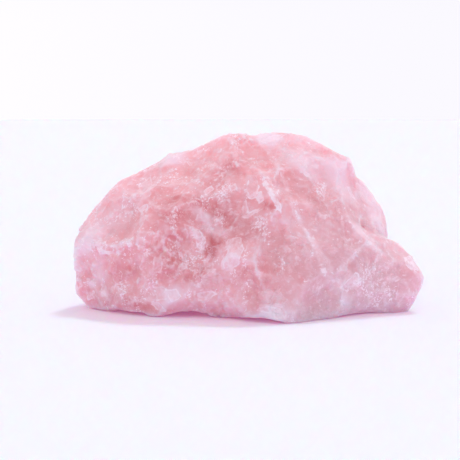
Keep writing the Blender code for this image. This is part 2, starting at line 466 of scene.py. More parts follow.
class Seats:
    """The seats of marks of one size, none nearer to another than a spacing."""

    def __init__(self, spacing: float) -> None:
        """Starts with no seat taken, and with this spacing."""
        self.spacing = spacing
        self.taken: dict[tuple[int, ...], list[Vector]] = {}

    def take(self, place: Vector) -> bool:
        """Takes a seat, unless an earlier one lies too near.

        Args:
            place: The seat.

        Returns:
            True if the seat was free.
        """
        x, y, z = (math.floor(c / self.spacing) for c in place)
        near = (-1, 0, 1)
        cells = ((x + i, y + j, z + k) for i in near for j in near for k in near)
        if any((place - other).length < self.spacing for cell in cells for other in self.taken.get(cell, ())):
            return False
        self.taken.setdefault((x, y, z), []).append(place.copy())
        return True


class Skin:
    """The lump's fine surface, with what each point of it remembers."""

    LONG_WAVE_MM = 2.5  # the longer of two waves that bend the facets' outlines
    LONG_STRAY_MM = 1.1  # how far it bends them
    SHORT_WAVE_MM = 0.9
    SHORT_STRAY_MM = 0.25
    FACET_LOTS = 61.0  # sets the lots that neighbouring facets draw apart

    BITE_TRIES = 4  # how often a scar's ball is drawn back
    SCAR_FROST = (0.35, 0.9)  # how white a crushed floor is
    FROSTED_BY = 0.4  # the share of the deepest bite by which it is that white

    BORDER_MM = 0.8  # how wide a band on each side of a chip's border the skin remembers
    STRAY_MM = 0.2  # how far the border strays
    STRAY_WAVE_MM = 1.1
    FACING = 0.4  # how nearly the skin must face a chip's way, as a cosine
    CHIP_REACH = 1.5  # how far a chip is looked for, as a share of its furthest side
    PATCHY_MEAN = 0.7  # how white a chip is, of what it may be
    PATCHY_SWING = 1.3  # how much that varies
    PATCHY_LEAST = 0.25
    PATCHY_WAVE_MM = 1.7
    STEP_MM = (-0.1, 0.3)  # how far inside its border its relief begins and is full

    CORNERS = (3, 4, 4, 5)  # how many corners scattered chips have
    SWING = 0.3  # how far their sides swing, in radians
    EDGES = (0.2, 1.0)  # some sides are hardly white
    BARE = 0.35  # how clear a place is that stays bare of them
    BY_SUGAR = 0.5  # how much more readily they lie in crushed places
    SIDE = 0.7  # how far out their sides lie, in half lengths
    FLAKE_EVENNESS = 0.75  # how even the white is in a chip of known corners

    PATCH_REACH = 1.6  # how far a patch is looked for, in half lengths
    PATCH_WAVE = 0.6  # the wave of its outline, in half widths, beside a least one
    PATCH_LEAST_WAVE_MM = 0.6
    PATCH_STRAY = (0.45, 0.55)  # how far its outline strays, along and across
    PATCH_FADE = (1.2, 0.1)  # where it begins and is full, in half lengths

    SEAM_STRAY_MM = 0.7  # how far a seam strays
    SEAM_STRAY_WAVE_MM = 3.0
    SEAM_MEAN = 0.5  # how white it is, of what it may be
    SEAM_SWING = 0.8  # how much that varies
    SEAM_WAVE_MM = 2.2
    SEAM_FADE = (2.0, 0.4)  # where it begins and is full, in half widths

    RIDGE_SOFTENING = 0.5  # how strongly the surroundings are smoothed

    def __init__(self, mesh: Mesh, viewpoint: Viewpoint) -> None:
        """Takes the surface from a mesh.

        Args:
            mesh: An even, closed mesh of the lump.
            viewpoint: The camera by whose pixels marks are placed.
        """
        self.bm = bmesh.new()
        self.bm.from_mesh(mesh)
        self.viewpoint = viewpoint
        self.layers = {hide: self.bm.verts.layers.float.new(hide.value) for hide in Hide}
        self.low, self.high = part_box(NODE)
        self.settle()

    def settle(self) -> None:
        """Takes note of how the skin lies now, for the marks that come next."""
        self.bm.normal_update()
        self.bm.verts.ensure_lookup_table()
        self.surface = BVHTree.FromBMesh(self.bm)
        self.tree = kdtree.KDTree(len(self.bm.verts))
        for vert in self.bm.verts:
            self.tree.insert(vert.co, vert.index)
        self.tree.balance()

    def facet(self, size: Facets, hackly: Hackliness) -> None:
        """Breaks the skin up into small flat facets with sharp steps between them.

        Args:
            size: The facets' size.
            hackly: How rough the break is at each place.
        """
        self.bm.normal_update()
        shift = Vector(size.shift)
        moves = []
        for vert in self.bm.verts:
            place = vert.co / MM
            long_stray = wander(place / self.LONG_WAVE_MM) * self.LONG_STRAY_MM
            bent = place + long_stray + wander(place / self.SHORT_WAVE_MM + shift) * self.SHORT_STRAY_MM
            seed = noise.voronoi(bent / size.across_mm + shift)[1][0]
            lot = noise.cell_vector(seed * self.FACET_LOTS)
            lean = (lot - Vector(HALF_GREY)) * 2 * size.tilt
            away = (bent / size.across_mm + shift - seed) * size.across_mm
            rise = away.dot(lean) + (lot.x - 0.5) * 2 * size.step_mm
            moves.append(vert.normal * (rise * hackly.at(vert.co) * MM))
        for vert, move in zip(self.bm.verts, moves):
            vert.co += move

    def _throw(self, rng: random.Random) -> Vector:
        """A chance place in the lump's box."""
        return Vector(rng.uniform(self.low[i], self.high[i]) for i in range(3))

    def _seat(self, thrown: Vector) -> bmesh.types.BMVert:
        """The point of the skin, as it last settled, that is nearest to a place."""
        return self.bm.verts[self.tree.find(thrown)[1]]

    def strike(self, size: ScarSize, hackly: Hackliness, rng: random.Random) -> int:
        """Strikes scars of one size off the skin.

        Args:
            size: The scars' size.
            hackly: How rough the break is at each place.
            rng: The source of chance.

        Returns:
            How many scars were struck.
        """
        self.settle()
        seats = Seats(size.spacing_mm * MM)
        struck = 0
        for _ in range(size.tries):
            thrown = self._throw(rng)
            half_width = rng.uniform(*size.half_width_mm) * MM
            depth = half_width * rng.uniform(*size.dishing)
            lean = Vector(rng.uniform(-size.lean, size.lean) for _ in range(3))
            chance, bruise = rng.random(), rng.random()
            seat = self._seat(thrown)
            if chance > hackly.at(seat.co) or not seats.take(seat.co):
                continue
            radius = (half_width**2 + depth**2) / (2 * depth)
            outward = (seat.normal + lean).normalized()
            crushed = bruise < size.bruised * hackly.bruising(seat.co)
            frost = rng.uniform(*self.SCAR_FROST) if crushed else 0.0
            self._bite(seat.co + outward * (radius - depth), radius, outward, size.deepest_mm * MM, frost)
            struck += 1
        return struck

    def _bite(self, centre: Vector, radius: float, outward: Vector, deepest: float, frost: float) -> None:
        """Moves the skin out of a ball, drawn back until it bites no deeper than it may.

        Args:
            centre: The ball's centre.
            radius: The ball's radius.
            outward: The way in which the ball is drawn back.
            deepest: The deepest bite.
            frost: How white the scar's floor is.
        """
        layer = self.layers[Hide.FROST]
        for _ in range(self.BITE_TRIES):
            near = [self.bm.verts[i] for _, i, _ in self.tree.find_range(centre, radius + deepest)]
            bite = max((radius - (vert.co - centre).length for vert in near), default=0.0)
            if bite <= deepest:
                break
            centre = centre + outward * (bite - deepest)
        else:
            return
        for vert in near:
            way = vert.co - centre
            if way.length < radius:
                sunk = radius - way.length
                vert.co = centre + way.normalized() * radius
                if frost:
                    vert[layer] = max(vert[layer], frost * smooth_step(0.0, self.FROSTED_BY, sunk / bite))

    def _chip(
        self,
        centre: Vector,
        normal: Vector,
        sides: list[tuple[Vector, float, float]],
        fill: float,
        relief: float,
        evenness: float,
    ) -> None:
        """Lays one flat chip with straight sides on the skin.

        Args:
            centre: The chip's middle.
            normal: The way in which the chip faces.
            sides: For each side, the way out to it, how far out it lies and how white its rim is.
            fill: How white the chip's floor is.
            relief: How far the floor stands out of the skin.
            evenness: How little its white varies, from 0 to 1.
        """
        inside, floor, edge = (self.layers[hide] for hide in (Hide.CHIP, Hide.FLOOR, Hide.RIM))
        reach = self.CHIP_REACH * max(distance for _, distance, _ in sides) + self.BORDER_MM * MM
        for place, index, _ in self.tree.find_range(centre, reach):
            vert = self.bm.verts[index]
            if vert.normal.dot(normal) < self.FACING:
                continue
            away = place - centre
            depth, rim = min((distance - away.dot(way), rim) for way, distance, rim in sides)
            depth = depth / MM + self.STRAY_MM * noise.noise(place / MM / self.STRAY_WAVE_MM)
            if depth < -self.BORDER_MM:
                continue
            patchy = self.PATCHY_MEAN + self.PATCHY_SWING * noise.noise(place / MM / self.PATCHY_WAVE_MM)
            patchy = min(1.0, max(self.PATCHY_LEAST, patchy))
            patchy += (1.0 - patchy) * evenness
            vert[inside] = max(vert[inside], min(1.0, 0.5 + 0.5 * depth / self.BORDER_MM))
            vert[floor] = max(vert[floor], fill * patchy)
            vert[edge] = max(vert[edge], rim * patchy)
            vert.co += vert.normal * relief * smooth_step(*self.STEP_MM, depth)

    def scatter(self, size: ChipSize, hackly: Hackliness, rng: random.Random) -> int:
        """Scatters chips of one size over the skin.

        Args:
            size: The chips' size.
            hackly: How bruised the break is at each place.
            rng: The source of chance.

        Returns:
            How many chips there are.
        """
        self.settle()
        seats = Seats(size.spacing_mm * MM)
        laid = 0
        for _ in range(size.tries):
            thrown = self._throw(rng)
            length = rng.uniform(*size.half_length_mm) * MM
            width = length / rng.uniform(*size.slimness)
            turn = rng.uniform(0.0, math.pi)
            corners = rng.choice(self.CORNERS)
            swings = [rng.uniform(-self.SWING, self.SWING) for _ in range(corners)]
            fill, relief = rng.uniform(*size.fill), rng.uniform(*size.relief_mm) * MM
            rims = [rng.uniform(*size.rim) * rng.choice(self.EDGES) for _ in range(corners)]
            chance = rng.random()
            seat = self._seat(thrown)
            bare = seat[self.layers[Hide.CHIP]] > 0.0 or seat[self.layers[Hide.BLUSH_AND_PAINTED_SHADE]] > self.BARE
            readiness = hackly.bruising(seat.co) + self.BY_SUGAR * seat[self.layers[Hide.SUGAR]]
            if bare or chance > readiness or not seats.take(seat.co):
                continue
            first = seat.normal.orthogonal().normalized()
            first.rotate(Matrix.Rotation(turn, 3, seat.normal))
            second = seat.normal.cross(first)
            sides = []
            for i, (swing, rim) in enumerate(zip(swings, rims)):
                angle = 2 * math.pi * i / corners + swing
                out = first * (math.cos(angle) / length) + second * (math.sin(angle) / width)
                sides.append((out.normalized(), self.SIDE / out.length, rim))
            self._chip(seat.co.copy(), seat.normal.copy(), sides, fill, relief, 0.0)
            laid += 1
        return laid

    def _seen(self, pixel: Pixel) -> tuple[Vector, Vector] | None:
        """Where the camera's sight through a pixel meets the skin.

        Args:
            pixel: The pixel.

        Returns:
            The place and the skin's normal there, or None where the sight misses the lump.
        """
        place, normal, _, _ = self.surface.ray_cast(self.viewpoint.stand(), self.viewpoint.sight(pixel))
        return None if place is None else (place, normal)

    def lay(self, flake: Flake) -> None:
        """Lays a chip whose corners are known pixels.

        Args:
            flake: The chip.
        """
        hits = [hit for hit in map(self._seen, flake.corners) if hit]
        if len(hits) < 3:
            LOG.warning("%s misses the lump", flake.name)
            return
        centre = sum((place for place, _ in hits), Vector()) / len(hits)
        normal = sum((normal for _, normal in hits), Vector()).normalized()
        sides = []
        for (here, _), (there, _) in zip(hits, hits[1:] + hits[:1]):
            out = (there - here).cross(normal).normalized()
            distance = (here - centre).dot(out)
            if distance < 0:
                out, distance = -out, -distance
            sides.append((out, distance, flake.rim))
        self._chip(centre, normal, sides, flake.fill, flake.relief_mm * MM, self.FLAKE_EVENNESS)

    def mark(self, patch: Patch, hide: Hide) -> None:
        """Lays one patch on the skin where its pixel falls.

        Args:
            patch: The patch.
            hide: What the skin remembers of it.
        """
        seen = self._seen(patch.pixel)
        if seen is None:
            LOG.warning("%s misses the lump", patch.name)
            return
        hit, normal = seen
        turn = Matrix.Rotation(math.radians(patch.turn_deg), 3, self.viewpoint.backwards())
        length_way = turn @ Vector(ALONG_X)
        length_way = (length_way - normal * length_way.dot(normal)).normalized()
        width_way = normal.cross(length_way)
        reach = self.PATCH_REACH * max(patch.half_length_mm, patch.half_width_mm) * MM
        wave_mm = self.PATCH_WAVE * min(patch.half_length_mm, patch.half_width_mm) + self.PATCH_LEAST_WAVE_MM
        layer = self.layers[hide]
        for _, index, _ in self.tree.find_range(hit, reach):
            vert = self.bm.verts[index]
            way = (vert.co - hit) / MM
            stray = wander(vert.co / MM / wave_mm)
            along = way.dot(length_way) / patch.half_length_mm + self.PATCH_STRAY[0] * stray.x
            over = way.dot(width_way) / patch.half_width_mm + self.PATCH_STRAY[1] * stray.y
            amount = patch.strength * smooth_step(*self.PATCH_FADE, math.hypot(along, over))
            vert[layer] = max(vert[layer], amount)

    def draw(self, seam: Seam) -> None:
        """Draws one seam on the skin along its pixels.

        Args:
            seam: The seam.
        """
        layer = self.layers[Hide.FROST]
        reach, core = (share * seam.half_width_mm * MM for share in self.SEAM_FADE)
        for (x0, y0), (x1, y1) in zip(seam.pixels, seam.pixels[1:]):
            steps = max(2, round(math.hypot(x1 - x0, y1 - y0)))
            for step in range(steps):
                t = step / steps
                seen = self._seen((x0 + (x1 - x0) * t, y0 + (y1 - y0) * t))
                if seen is None:
                    continue
                hit = seen[0]
                stray = wander(hit / MM / self.SEAM_STRAY_WAVE_MM) * self.SEAM_STRAY_MM * MM
                thin = self.SEAM_MEAN + self.SEAM_SWING * noise.noise(hit / MM / self.SEAM_WAVE_MM)
                for _, index, distance in self.tree.find_range(hit + stray, reach):
                    vert = self.bm.verts[index]
                    inside = smooth_step(reach, core, distance) * max(0.0, thin)
                    vert[layer] = max(vert[layer], seam.strength * inside)

    def feel_ridges(self, passes: int, full_mm: float) -> None:
        """Remembers how far each point stands out of its surroundings.

        Args:
            passes: How often the copy that stands for the surroundings is smoothed.
            full_mm: The height that counts as a full ridge.
        """
        plain = self.bm.copy()
        smooth(plain, passes, self.RIDGE_SOFTENING)
        plain.verts.ensure_lookup_table()
        self.bm.normal_update()
        layer = self.layers[Hide.RIDGE]
        for vert in self.bm.verts:
            out = (vert.co - plain.verts[vert.index].co).dot(vert.normal) / (full_mm * MM)
            vert[layer] = 0.5 + 0.5 * max(-1.0, min(1.0, out))
        plain.free()

    def keep_above_table(self) -> None:
        """Lifts the few points that ended below the table back onto it."""
        for vert in self.bm.verts:
            vert.co.z = max(0.0, vert.co.z)

    def write(self, mesh: Mesh) -> None:
        """Writes the skin to a mesh and lets it go."""
        self.bm.to_mesh(mesh)
        self.bm.free()


@dataclass(frozen=True)
class Hackliness:
    """How rough and how bruised the break is from place to place."""

    belly_mm: Triple = (13.0, -24.0, 12.0)
    belly_half_mm: Triple = (20.0, 14.0, 17.0)
    belly_share: float = 0.25
    belly_edge: Pair = (0.6, 1.2)  # where the belly ends, in its half sizes
    clump_mm: float = 11.0
    clumps: Pair = (0.6, 0.9)  # their mean roughness, and its swing
    least: float = 0.05
    bruise_mm: float = 6.0
    bruises: Pair = (0.25, 2.0)  # their mean, and its swing
    least_bruised: float = 0.04
    bruise_shift: Triple = (7.0, 3.0, 5.0)  # keeps the bruises off the rough clumps
    right_from_mm: Pair = (-10.0, 30.0)  # between these the right side begins
    left: float = 1.1  # how bruised the left side is
    right_drop: float = 0.6  # how much less bruised the right side is

    def at(self, place: Vector) -> float:
        """The roughness of the break at a place.

        Args:
            place: A point on the skin.

        Returns:
            A share from 0.05 to 1, lower on the smooth belly.
        """
        way = (place / MM - Vector(self.belly_mm)).to_tuple()
        out = math.hypot(*(w / half for w, half in zip(way, self.belly_half_mm)))
        even = self.belly_share + (1 - self.belly_share) * smooth_step(*self.belly_edge, out)
        clumps = self.clumps[0] + self.clumps[1] * noise.noise(place / MM / self.clump_mm)
        return max(self.least, min(1.0, even * clumps))

    def bruising(self, place: Vector) -> float:
        """How readily scars and chips are crushed white at a place.

        Args:
            place: A point on the skin.

        Returns:
            A share from 0.02 to 1.1, in clumps, and lower on the right.
        """
        wave = noise.noise(place / MM / self.bruise_mm + Vector(self.bruise_shift))
        clumps = max(self.least_bruised, min(1.0, self.bruises[0] + self.bruises[1] * wave))
        low, high = (edge * MM for edge in self.right_from_mm)
        return clumps * (self.left - self.right_drop * smooth_step(low, high, place.x))


@dataclass(frozen=True)
class Blotches:
    """Soft-edged blotches of one size: a share that grows where a noise does."""

    size_mm: float
    rise: Pair  # the levels of the noise at which a blotch begins and is full
    share: Pair = (0.0, 1.0)  # outside and inside
    detail: float = 2.0
    roughness: float = 0.5

    def lay(
        self, add: AddNode, place: Source, fullest: Source | None = None, push: Source | None = None
    ) -> Node:
        """Adds the nodes that draw the blotches.

        Args:
            add: Adds a node to the material.
            place: The coordinates that the blotches follow.
            fullest: The share inside, where it changes over the skin.
            push: What is added to the noise, where something is.

        Returns:
            The node that gives their share.
        """
        level = add(
            "TexNoise",
            {"Vector": place, "Scale": across(self.size_mm), "Detail": self.detail, "Roughness": self.roughness},
        )
        if push is not None:
            level = add("Math", {0: level, 1: push}, operation="ADD")
        (begin, full), (outside, inside) = self.rise, self.share
        return add(
            "MapRange",
            {
                "Value": level,
                "From Min": begin,
                "From Max": full,
                "To Min": outside,
                "To Max": inside if fullest is None else fullest,
            },
            **SOFT,
        )


@dataclass(frozen=True)
class SmallChips:
    """One size of chips too small for the mesh, which only the finish shows."""

    size_mm: float
    tilt: float  # how much their floors lean
    rim: float  # how wide their white edges are, in sizes


@dataclass(frozen=True)
class RoseQuartz:
    """Massive rose quartz, broken by hand and left as it broke.

    Fine inclusions make it milky, so light sinks in and comes back pink: that is the subsurface part.
    Its breaks are glassy where they are clean and white where the stone is crushed or cracked.
    """

    body: str = "#F1B8BD"
    # Deeper pink of clear stone, also used as painted shade in pockets and recesses.
    deep: str = "#D5747A"
    # Mauve of the stone's right side, also used as painted shade low down.
    mauve: str = "#E0C0C9"
    # Pale of milky veils, also used as painted light on thin edges, the top and the left end.
    milk_and_painted_light: str = "#F2D5DE"
    # White of crushed stone, also used for painted glints on chip rims and grains.
    frost: str = "#FCE6EE"
    # Quartz refracts 1.54. Light wanders one to two centimetres in a clear pink piece, red furthest.
    ior: float = 1.54
    scatter_mm: float = 16.0
    scatter_share: Triple = (1.0, 0.45, 0.5)
    # A clean conchoidal break is nearly glassy, a crushed one is matt.
    clean_roughness: float = 0.28
    crushed_roughness: float = 0.6
    # Light doesn't get far into crushed stone, so its white stays crisp.
    crushed_scatter: float = 0.15
    # The colour that each crossing of the skin leaves in lamplight that goes through, and how much goes.
    inside: str = "#DCA9BF"
    clearness: float = 1.0
    white_in_the_clear: float = 0.25  # how much of the white is left in clear, deep places
    # The waves that bend the pattern space, and how far they shift it.
    bends_mm: tuple[Pair, ...] = ((6.0, 3.0), (1.4, 0.45))

    clouds: Blotches = Blotches(16.0, (0.38, 0.66), (0.0, 0.4), 4.0)
    # The stone turns mauve to the right, its own tone, and sooner low down, which is painted shade: the way, where
    # it does, and how far.
    mauve_way: Triple = (1.0, 0.0, -0.7)
    mauve_from_mm: Pair = (-22.0, 30.0)
    mauve_share: float = 0.64
    # Painted light: ridges are made paler, a painted highlight along edges and glow through thin parts: from what
    # height, and how much.
    ridge_highlight_from: float = 0.52
    ridge_highlight_share: float = 0.6
    # Milky veils are the planes of fine bubbles that healed cracks leave: slanted, long and flat.
    veils: Blotches = Blotches(7.0, (0.50, 0.72), detail=6.0, roughness=0.62)
    veil_turn: Triple = (0.5, 0.9, 0.3)
    veil_shape: Triple = (1.0, 0.6, 2.2)
    veil_share: Pair = (0.5, 0.05)  # in common stone and in the clear
    mottle: Blotches = Blotches(1.6, (0.48, 0.66), detail=4.0, roughness=0.7)
    mottle_share: Pair = (0.45, 0.9)  # in common stone and where it is crushed

    # Small chips of two sizes gather in clumps. Some have white rims, with gaps, partly painted glints, and a few
    # white floors.
    small_chips: tuple[SmallChips, ...] = (SmallChips(2.8, 0.25, 0.06), SmallChips(1.5, 0.35, 0.10))
    clumps: Blotches = Blotches(9.0, (0.40, 0.66), detail=3.0, roughness=0.65)
    rim_gaps: Blotches = Blotches(1.3, (0.50, 0.60))
    shelf: float = 0.14  # how far from its border a small chip's floor begins, in sizes
    rimmed: Pair = (0.55, 0.85)  # the lots that give a chip a white rim
    floored: Pair = (0.82, 0.95)  # and a white floor
    rim_white: float = 0.5
    floor_white: float = 0.2

    # The sugar of a crushed break lies in upright drifts, thinner to the right. Its grains and threads
    # are drawn at about twice their real size so that they show. The grains are partly painted glints.
    drifts: Blotches = Blotches(3.6, (0.49, 0.66), detail=2.5, roughness=0.6)
    drift_turn: Triple = (0.2, 0.35, 0.0)
    drift_shape: Triple = (1.0, 1.0, 0.42)
    thinner_from_mm: Pair = (-20.0, 20.0)
    thinner: float = 0.07  # how much thinner they are to the right
    sugared: float = 0.11  # how much thicker where the skin remembers sugar
    drifted: float = 0.16  # how readily grains lie in a drift
    grains: tuple[Blotches, ...] = (
        Blotches(0.92, (0.735, 0.785), detail=1.5, roughness=0.6),
        Blotches(0.5, (0.705, 0.755), detail=1.5, roughness=0.6),
    )
    thread_mm: float = 2.2
    thread_roughness: float = 0.55
    thread_edge: Pair = (0.022, 0.006)  # how near the noise's middle a thread begins and is full
    thread_light: Blotches = Blotches(0.9, (0.50, 0.60), (0.0, 0.5), 1.0)

    # Bruises are broken up into feathers, the known chips' floors into streaks and their rims by gaps.
    feathers: Blotches = Blotches(0.9, (0.40, 0.62), (0.30, 1.0), 5.0, 0.75)
    streaks: Blotches = Blotches(1.1, (0.40, 0.60), (0.30, 1.0), 3.0, 0.7)
    gaps: Blotches = Blotches(2.4, (0.40, 0.52), (0.20, 1.0))
    fray_mm: float = 0.8
    fray_detail: float = 4.0
    fray_roughness: float = 0.7
    fray: float = 0.5  # how ragged the borders of known chips are
    # How far inside the frayed border a floor begins, and a rim begins and ends.
    floor_edges: tuple[Pair, ...] = ((0.70, 0.80),)
    rim_edges: tuple[Pair, ...] = ((0.58, 0.67), (0.94, 0.82))

    def build(self) -> Material:
        """Makes the material.

        Returns:
            The material, ready for a piece's slot.
        """
        material = bpy.data.materials.new("rose quartz, rough broken")
        material.use_nodes = True
        material.node_tree.nodes.clear()
        QuartzLayers(self, material.node_tree).finish()
        return material


class QuartzLayers:
    """The layers of one rose quartz finish, laid over each other as nodes."""

    def __init__(self, stone: RoseQuartz, tree: NodeTree) -> None:
        """Adds what the layers share.

        Args:
            stone: The finish.
            tree: The material's empty tree.
        """
        self.stone = stone
        self.add: AddNode = partial(add_node, tree)
        self.place = self.add("TexCoord").outputs["Object"]
        self.known = {hide: self.add("Attribute", attribute_name=hide.value).outputs["Fac"] for hide in Hide}
        self.bent = self._bent()
        self.drifts = self._drifts()

    def finish(self) -> None:
        """Lays the layers over each other and makes the surface of them."""
        add, stone = self.add, self.stone
        whites, normal = self._small_chips()
        white = None
        # The white of crushed stone and white chips, with painted glints among it on rims and grains.
        for layer in (*whites, *self._grains(), self._threads(), self._bruises(), *self._known_chips()):
            if white is None:
                white = layer
            else:
                white = add("Math", {0: white, 1: layer}, operation="MAXIMUM", use_clamp=True)
        clear = add(
            "MapRange", {"Value": self.known[Hide.BLUSH_AND_PAINTED_SHADE], "To Min": 1.0, "To Max": stone.white_in_the_clear}
        )
        white = add("Math", {0: white, 1: clear}, operation="MULTIPLY")
        colour = add("Mix", {0: white, 6: self._tint(), 7: linear(stone.frost)}, data_type="RGBA").outputs[2]
        rough = add(
            "MapRange", {"Value": white, "To Min": stone.clean_roughness, "To Max": stone.crushed_roughness}
        )
        sunk = add("MapRange", {"Value": white, "To Min": 1.0, "To Max": stone.crushed_scatter})
        shader = add(
            "BsdfPrincipled",
            {
                "Base Color": colour,
                "Roughness": rough,
                "IOR": stone.ior,
                "Subsurface Weight": sunk,
                "Subsurface Radius": stone.scatter_share,
                "Subsurface Scale": stone.scatter_mm * MM,
                "Normal": normal,
            },
        )
        # The lump is clear enough to let some lamplight through, so its shadow is pink.
        lamplight = add("LightPath").outputs["Is Shadow Ray"]
        share = add("Math", {0: lamplight, 1: stone.clearness}, operation="MULTIPLY")
        through = add("BsdfTransparent", {"Color": linear(stone.inside)})
        both = add("MixShader", {0: share, 1: shader, 2: through})
        add("OutputMaterial", {"Surface": both})

    def _bent(self) -> Node:
        """Bends the pattern space, so that no mark keeps a regular outline.

        Returns:
            The node that gives the bent coordinates.
        """
        bent = self.place
        for size_mm, shift_mm in self.stone.bends_mm:
            stray = self.add("TexNoise", {"Vector": self.place, "Scale": across(size_mm)})
            centred = self.add("VectorMath", {0: stray.outputs["Color"], 1: HALF_GREY}, operation="SUBTRACT")
            shifts = {0: centred, 1: (shift_mm * MM,) * 3, 2: bent}
            bent = self.add("VectorMath", shifts, operation="MULTIPLY_ADD")
        return bent

    def _drifts(self) -> Node:
        """Where crushed grains gather: in upright drifts, thinner to the right.

        Returns:
            The node that gives the share.
        """
        add, stone = self.add, self.stone
        upright = add(
            "Mapping", {"Vector": self.place, "Rotation": stone.drift_turn, "Scale": stone.drift_shape}
        )
        begin, full = (edge * MM for edge in stone.thinner_from_mm)
        thinner = add(
            "MapRange",
            {
                "Value": add("SeparateXYZ", {0: self.place}).outputs["X"],
                "From Min": begin,
                "From Max": full,
                "To Max": -stone.thinner,
            },
            **SOFT,
        )
        push = add("Math", {0: self.known[Hide.SUGAR], 1: stone.sugared, 2: thinner}, operation="MULTIPLY_ADD")
        return stone.drifts.lay(add, upright, push=push)

    def _tint(self) -> NodeSocket:
        """The stone's colour, with painted light and shade in it: clouds of deeper pink, partly painted shade in
        pockets and recesses; mauve to the right, sooner low down as painted shade; and pale ridges and veils, with
        a painted highlight on ridges and painted light on thin edges, the top and the left end.

        Returns:
            The colour.
        """
        add, stone, known = self.add, self.stone, self.known
        clouds = stone.clouds.lay(add, self.place)
        # Deeper pink: random clouds, and the skin's remembered deep places, partly painted shade in pockets and
        # recesses.
        deep = add("Math", {0: clouds, 1: known[Hide.BLUSH_AND_PAINTED_SHADE]}, operation="ADD", use_clamp=True)
        # Mauve to the right is the stone's own tone; that it comes sooner low down is painted shade.
        slope = add("VectorMath", {0: self.place, 1: stone.mauve_way}, operation="DOT_PRODUCT")
        begin, full = (edge * MM for edge in stone.mauve_from_mm)
        mauve = add(
            "MapRange",
            {"Value": slope.outputs["Value"], "From Min": begin, "From Max": full, "To Max": stone.mauve_share},
            **SOFT,
        )
        # Painted highlight: ridges made paler, standing for light along edges and through thin parts.
        thin = add(
            "MapRange",
            {"Value": known[Hide.RIDGE], "From Min": stone.ridge_highlight_from, "To Max": stone.ridge_highlight_share},
            **SOFT,
        )
        # The pale share: the painted ridge highlight, and milkiness that is partly painted light.
        pale = add("Math", {0: thin, 1: known[Hide.MILK_AND_PAINTED_LIGHT]}, operation="ADD", use_clamp=True)
        colour = linear(stone.body)
        for share, code in (
            (deep, stone.deep), (mauve, stone.mauve), (pale, stone.milk_and_painted_light), (self._veils(), stone.milk_and_painted_light)
        ):
            colour = add("Mix", {0: share, 6: colour, 7: linear(code)}, data_type="RGBA").outputs[2]
        return colour

    def _veils(self) -> Node:
        """Milky veils and a fine mottle, thick where the stone is crushed and thin where it is clear.

        Returns:
            The node that gives the share.
        """
        add, stone = self.add, self.stone
        slant = add("Mapping", {"Vector": self.bent, "Rotation": stone.veil_turn, "Scale": stone.veil_shape})
        shares = []
        for blotches, place, hide, (common, there) in (
            (stone.veils, slant, Hide.BLUSH_AND_PAINTED_SHADE, stone.veil_share),
            (stone.mottle, self.bent, Hide.SUGAR, stone.mottle_share),
        ):
            fullest = add("MapRange", {"Value": self.known[hide], "To Min": common, "To Max": there})
            shares.append(blotches.lay(add, place, fullest))
        return add("Math", dict(enumerate(shares)), operation="MAXIMUM")

    def _small_chips(self) -> tuple[list[Node], Node]:
        """Small chips: each a flat floor with a tilt of its own, some with a white rim or floor. The rims are
        partly painted glints.

        Returns:
            The nodes that give the white of each size, and the one that gives the shading normal.
        """
        add, stone = self.add, self.stone
        clumps = stone.clumps.lay(add, self.place)
        gaps = stone.rim_gaps.lay(add, self.bent)
        whites, bump = [], None
        for chips in stone.small_chips:
            ground = {"Vector": self.bent, "Scale": across(chips.size_mm)}
            cells = add("TexVoronoi", ground)
            border = add("TexVoronoi", ground, feature="DISTANCE_TO_EDGE")
            lean = add("VectorMath", {0: cells.outputs["Color"], 1: HALF_GREY}, operation="SUBTRACT")
            away = add("VectorMath", {0: self.bent, 1: cells.outputs["Position"]}, operation="SUBTRACT")
            floor = add("VectorMath", {0: away, 1: lean}, operation="DOT_PRODUCT").outputs["Value"]
            lots = add("SeparateColor", {0: cells.outputs["Color"]})
            shelf, rim, rimmed, floored = (
                add("MapRange", {"Value": value, "From Min": begin, "From Max": full, "To Max": share}, **SOFT)
                for value, (begin, full), share in (
                    (border, (0.0, stone.shelf), 1.0),
                    (border, (chips.rim, 0.0), stone.rim_white),
                    (lots.outputs[0], stone.rimmed, 1.0),
                    (lots.outputs[1], stone.floored, stone.floor_white),
                )
            )
            height = floor
            for factor in (shelf, clumps):
                height = add("Math", {0: height, 1: factor}, operation="MULTIPLY")
            relief = {"Height": height, "Strength": 1.0, "Distance": chips.tilt}
            bump = add("Bump", relief if bump is None else relief | {"Normal": bump})
            # Painted glints in part: white rims on some small chips.
            for factor in (rimmed, gaps):
                rim = add("Math", {0: rim, 1: factor}, operation="MULTIPLY")
            both = add("Math", {0: rim, 1: floored}, operation="MAXIMUM")
            whites.append(add("Math", {0: both, 1: clumps}, operation="MULTIPLY"))
        return whites, bump

    def _grains(self) -> list[Node]:
        """Bright grains of crushed stone, thick in the drifts, partly painted glints.

        Returns:
            The nodes that give the white of each size.
        """
        push = self.add("Math", {0: self.drifts, 1: self.stone.drifted}, operation="MULTIPLY")
        return [size.lay(self.add, self.bent, push=push) for size in self.stone.grains]

    def _threads(self) -> Node:
        """The short bright threads that the edges of crushed flakes make where they catch the light.

        Returns:
            The node that gives their white.
        """
        add, stone = self.add, self.stone
        edges = add(
            "TexNoise",
            {"Vector": self.bent, "Scale": across(stone.thread_mm), "Roughness": stone.thread_roughness},
        )
        off = add("Math", {0: edges, 1: 0.5}, operation="SUBTRACT")
        apart = add("Math", {0: off}, operation="ABSOLUTE")
        begin, full = stone.thread_edge
        thread = add("MapRange", {"Value": apart, "From Min": begin, "From Max": full}, **SOFT)
        for factor in (stone.thread_light.lay(add, self.place), self.drifts):
            thread = add("Math", {0: thread, 1: factor}, operation="MULTIPLY")
        return thread

